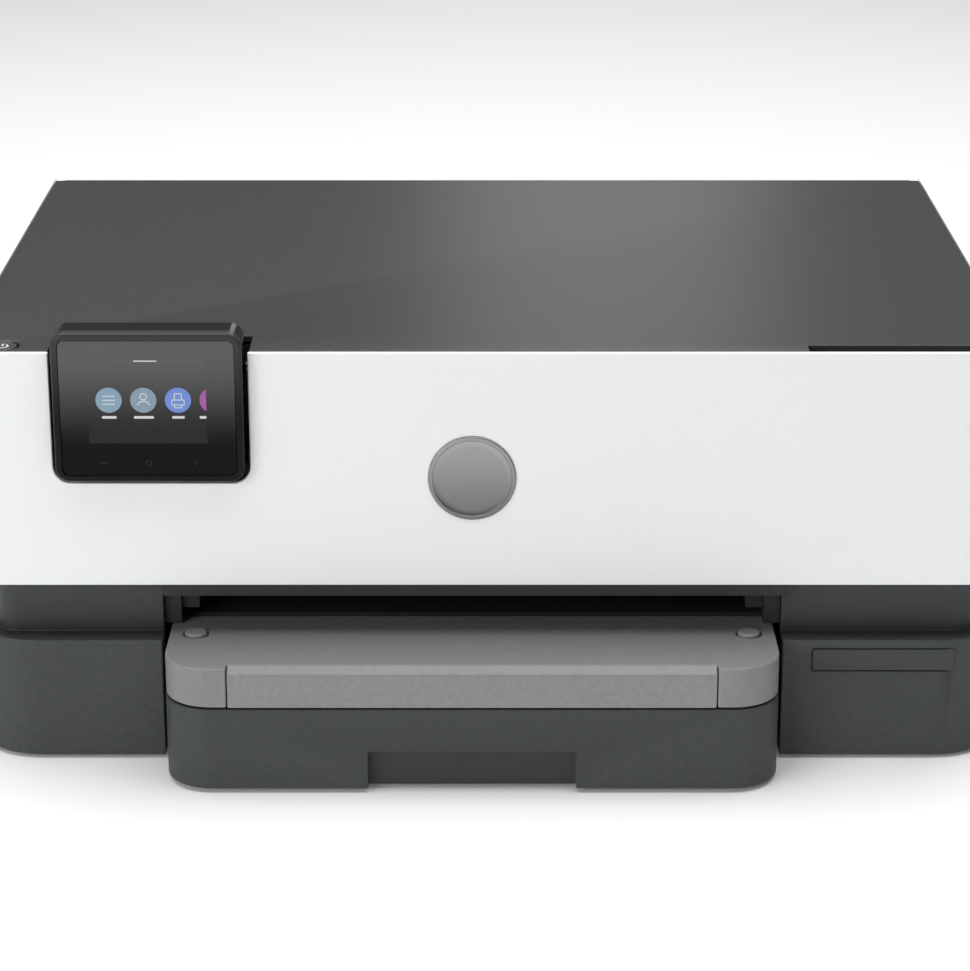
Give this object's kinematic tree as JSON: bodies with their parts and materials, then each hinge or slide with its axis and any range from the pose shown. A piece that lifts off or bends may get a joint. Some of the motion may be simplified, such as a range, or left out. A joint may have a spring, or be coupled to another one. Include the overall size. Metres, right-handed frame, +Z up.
{
  "type": "inkjet printer",
  "caption": "Low desktop inkjet printer with a dark top lid, a tilting front control panel, a white shell, a recessed dark base, and stacked paper trays that project from the front.",
  "frame": {"origin": "on the desk, under the middle of the printer's plan rectangle, trays closed", "axes": "+X to the viewer's right when facing the front, +Y from the front to the rear, +Z up"},
  "size_m": [0.439, 0.342, 0.19],
  "materials": {
    "base_housing": "fine grained moulding",
    "shell_cover": "satin white moulding",
    "rear_panel": "fine grained moulding",
    "top_frame": "fine grained moulding",
    "panel_pocket": "fine grained black moulding",
    "output_ramp": "fine grained black moulding",
    "bay_deck": "fine grained black moulding",
    "side_frames": "zinc plated sheet",
    "rear_beam": "zinc plated sheet",
    "guide_rod": "ground and plated",
    "platen": "fine grained black moulding",
    "encoder_strip": "clear film",
    "carriage_motor": "plated can",
    "feed_motor": "plated can",
    "drive_belt": "moulded belt",
    "main_board": "green solder mask",
    "power_supply": "moulded case",
    "power_inlet": "moulded socket",
    "service_station": "natural moulding",
    "waste_ink_pad": "felt",
    "rubber_feet": "soft rubber",
    "front_badge": "turned and clear coated",
    "name_plate": "plain label",
    "status_lights": "diffusing lens",
    "case_screws": "plated",
    "pinch_arms": "fine grained black moulding",
    "lid_panel": "satin moulding",
    "panel_housing": "gloss black",
    "panel_bezel": "gloss black",
    "touch_glass": "polished",
    "power_button": "satin",
    "tray_bin": "fine grained moulding",
    "tray_fascia": "fine grained moulding",
    "separation_pad": "cork rubber",
    "left_paper_guide": "satin moulding",
    "right_paper_guide": "satin moulding",
    "guide_pinion": "acetal",
    "length_guide": "satin moulding",
    "output_tray": "fine grained grey moulding",
    "tray_extender": "fine grained grey moulding",
    "left_release_button": "fine grained grey moulding",
    "right_release_button": "fine grained grey moulding",
    "carriage": "fine grained black moulding",
    "print_head": "moulded, steel nozzle plate",
    "black_cartridge": "moulded tank",
    "cyan_cartridge": "moulded tank",
    "magenta_cartridge": "moulded tank",
    "yellow_cartridge": "moulded tank",
    "motor_pulley": "acetal",
    "idler_pulley": "acetal",
    "feed_roller": "grit coated steel",
    "feed_gear": "acetal",
    "exit_roller": "moulded shaft, rubber tyres",
    "idler_gear": "acetal",
    "motor_pinion": "turned",
    "pinch_rollers": "ground rubber",
    "pickup_arm": "fine grained black moulding",
    "pickup_roller": "ribbed rubber",
    "rear_door": "fine grained moulding",
    "cap_sled": "moulded, rubber caps"
  },
  "bodies": {
    "chassis": {"base_housing": "base_housing", "shell_cover": "shell_cover", "rear_panel": "rear_panel", "top_frame": "top_frame", "panel_pocket": "panel_pocket", "output_ramp": "output_ramp", "bay_deck": "bay_deck", "side_frames": "side_frames", "rear_beam": "rear_beam", "guide_rod": "guide_rod", "platen": "platen", "encoder_strip": "encoder_strip", "carriage_motor": "carriage_motor", "feed_motor": "feed_motor", "drive_belt": "drive_belt", "main_board": "main_board", "power_supply": "power_supply", "power_inlet": "power_inlet", "service_station": "service_station", "waste_ink_pad": "waste_ink_pad", "rubber_feet": "rubber_feet", "front_badge": "front_badge", "name_plate": "name_plate", "status_lights": "status_lights", "case_screws": "case_screws", "pinch_arms": "pinch_arms"},
    "lid": {"lid_panel": "lid_panel"},
    "control_panel": {"panel_housing": "panel_housing", "panel_bezel": "panel_bezel", "touch_glass": "touch_glass"},
    "power_key": {"power_button": "power_button"},
    "input_tray": {"tray_bin": "tray_bin", "tray_fascia": "tray_fascia", "separation_pad": "separation_pad"},
    "left_guide": {"left_paper_guide": "left_paper_guide"},
    "right_guide": {"right_paper_guide": "right_paper_guide"},
    "pinion": {"guide_pinion": "guide_pinion"},
    "length_stop": {"length_guide": "length_guide"},
    "output_cover": {"output_tray": "output_tray"},
    "extender": {"tray_extender": "tray_extender"},
    "left_release": {"left_release_button": "left_release_button"},
    "right_release": {"right_release_button": "right_release_button"},
    "print_carriage": {"carriage": "carriage", "print_head": "print_head"},
    "black_ink": {"black_cartridge": "black_cartridge"},
    "cyan_ink": {"cyan_cartridge": "cyan_cartridge"},
    "magenta_ink": {"magenta_cartridge": "magenta_cartridge"},
    "yellow_ink": {"yellow_cartridge": "yellow_cartridge"},
    "drive_wheel": {"motor_pulley": "motor_pulley"},
    "idler_wheel": {"idler_pulley": "idler_pulley"},
    "feed_shaft": {"feed_roller": "feed_roller", "feed_gear": "feed_gear"},
    "exit_shaft": {"exit_roller": "exit_roller"},
    "gear_between": {"idler_gear": "idler_gear"},
    "feed_pinion": {"motor_pinion": "motor_pinion"},
    "pinch_shaft": {"pinch_rollers": "pinch_rollers"},
    "pickup_lever": {"pickup_arm": "pickup_arm"},
    "pickup_wheel": {"pickup_roller": "pickup_roller"},
    "back_door": {"rear_door": "rear_door"},
    "sled": {"cap_sled": "cap_sled"}
  },
  "joints": [
    {"name": "lid_hinge", "type": "hinge", "parent": "chassis", "child": "lid", "pos_m": [0, 0.164, 0.173], "axis": [-1, 0, 0], "range_deg": [0, 62]},
    {"name": "panel_tilt", "type": "hinge", "parent": "chassis", "child": "control_panel", "pos_m": [-0.1385, -0.128, 0.172], "axis": [-1, 0, 0], "range_deg": [0, 45]},
    {"name": "power_press", "type": "slide", "parent": "chassis", "child": "power_key", "axis": [0, 0, -1], "range_m": [0, 0.0012], "stiffness_N_per_m": 300, "springref_m": -0.0005},
    {"name": "input_tray_slide", "type": "slide", "parent": "chassis", "child": "input_tray", "axis": [0, -1, 0], "range_m": [0, 0.25]},
    {"name": "left_guide_slide", "type": "slide", "parent": "input_tray", "child": "left_guide", "axis": [1, 0, 0], "range_m": [0, 0.05]},
    {"name": "right_guide_slide", "type": "slide", "parent": "input_tray", "child": "right_guide", "axis": [-1, 0, 0], "range_m": [0, 0.05]},
    {"name": "guide_pinion_spin", "type": "hinge", "parent": "input_tray", "child": "pinion", "pos_m": [-0.0065, 0.022, 0.004], "axis": [0, 0, 1], "range_deg": [-360, 0]},
    {"name": "length_guide_slide", "type": "slide", "parent": "input_tray", "child": "length_stop", "axis": [0, 1, 0], "range_m": [0, 0.085]},
    {"name": "output_tray_slide", "type": "slide", "parent": "chassis", "child": "output_cover", "axis": [0, -1, 0], "range_m": [0, 0.05]},
    {"name": "extender_slide", "type": "slide", "parent": "output_cover", "child": "extender", "axis": [0, -1, 0], "range_m": [0, 0.09]},
    {"name": "left_release_press", "type": "slide", "parent": "output_cover", "child": "left_release", "axis": [0, 0, -1], "range_m": [0, 0.002], "stiffness_N_per_m": 300, "springref_m": -0.0005},
    {"name": "right_release_press", "type": "slide", "parent": "output_cover", "child": "right_release", "axis": [0, 0, -1], "range_m": [0, 0.002], "stiffness_N_per_m": 300, "springref_m": -0.0005},
    {"name": "carriage_slide", "type": "slide", "parent": "chassis", "child": "print_carriage", "axis": [1, 0, 0], "range_m": [-0.305, 0]},
    {"name": "black_cartridge_lift", "type": "slide", "parent": "print_carriage", "child": "black_ink", "axis": [0, 0, 1], "range_m": [0, 0.012]},
    {"name": "cyan_cartridge_lift", "type": "slide", "parent": "print_carriage", "child": "cyan_ink", "axis": [0, 0, 1], "range_m": [0, 0.012]},
    {"name": "magenta_cartridge_lift", "type": "slide", "parent": "print_carriage", "child": "magenta_ink", "axis": [0, 0, 1], "range_m": [0, 0.012]},
    {"name": "yellow_cartridge_lift", "type": "slide", "parent": "print_carriage", "child": "yellow_ink", "axis": [0, 0, 1], "range_m": [0, 0.012]},
    {"name": "motor_pulley_spin", "type": "hinge", "parent": "chassis", "child": "drive_wheel", "pos_m": [-0.183, 0.061, 0.13], "axis": [0, -1, 0], "continuous": true},
    {"name": "idler_pulley_spin", "type": "hinge", "parent": "chassis", "child": "idler_wheel", "pos_m": [0.1915, 0.061, 0.13], "axis": [0, -1, 0], "continuous": true},
    {"name": "feed_spin", "type": "hinge", "parent": "chassis", "child": "feed_shaft", "pos_m": [0, 0.034, 0.086], "axis": [1, 0, 0], "continuous": true},
    {"name": "idler_gear_spin", "type": "hinge", "parent": "chassis", "child": "gear_between", "pos_m": [-0.201, 0.003, 0.086], "axis": [1, 0, 0], "continuous": true},
    {"name": "exit_spin", "type": "hinge", "parent": "chassis", "child": "exit_shaft", "pos_m": [0, -0.028, 0.086], "axis": [1, 0, 0], "continuous": true},
    {"name": "feed_pinion_spin", "type": "hinge", "parent": "chassis", "child": "feed_pinion", "pos_m": [-0.201, 0.04668, 0.06216], "axis": [1, 0, 0], "continuous": true},
    {"name": "pinch_spin", "type": "hinge", "parent": "chassis", "child": "pinch_shaft", "pos_m": [-0.0065, 0.034, 0.0957], "axis": [1, 0, 0], "continuous": true},
    {"name": "pickup_swing", "type": "hinge", "parent": "chassis", "child": "pickup_lever", "pos_m": [-0.0065, 0.072, 0.062], "axis": [-1, 0, 0], "range_deg": [0, 35]},
    {"name": "pickup_spin", "type": "hinge", "parent": "pickup_lever", "child": "pickup_wheel", "pos_m": [-0.0065, 0.11434, 0.04403], "axis": [1, 0, 0], "continuous": true},
    {"name": "rear_door_hinge", "type": "hinge", "parent": "chassis", "child": "back_door", "pos_m": [-0.0065, 0.168, 0.061], "axis": [-1, 0, 0], "range_deg": [0, 85]},
    {"name": "cap_sled_drop", "type": "slide", "parent": "chassis", "child": "sled", "axis": [0, 0, -1], "range_m": [0, 0.004], "stiffness_N_per_m": 400, "springref_m": -0.003}
  ],
  "couplings": [
    {"joint": "right_guide_slide", "follows": "left_guide_slide", "ratio": 1},
    {"joint": "guide_pinion_spin", "follows": "left_guide_slide", "rad_per_m": -125},
    {"joint": "motor_pulley_spin", "follows": "carriage_slide", "rad_per_m": 142.86},
    {"joint": "idler_pulley_spin", "follows": "carriage_slide", "rad_per_m": 142.86},
    {"joint": "idler_gear_spin", "follows": "feed_spin", "ratio": -1.5833},
    {"joint": "exit_spin", "follows": "feed_spin", "ratio": 1},
    {"joint": "feed_pinion_spin", "follows": "feed_spin", "ratio": -2.375},
    {"joint": "pinch_spin", "follows": "feed_spin", "ratio": -1.7143}
  ]
}
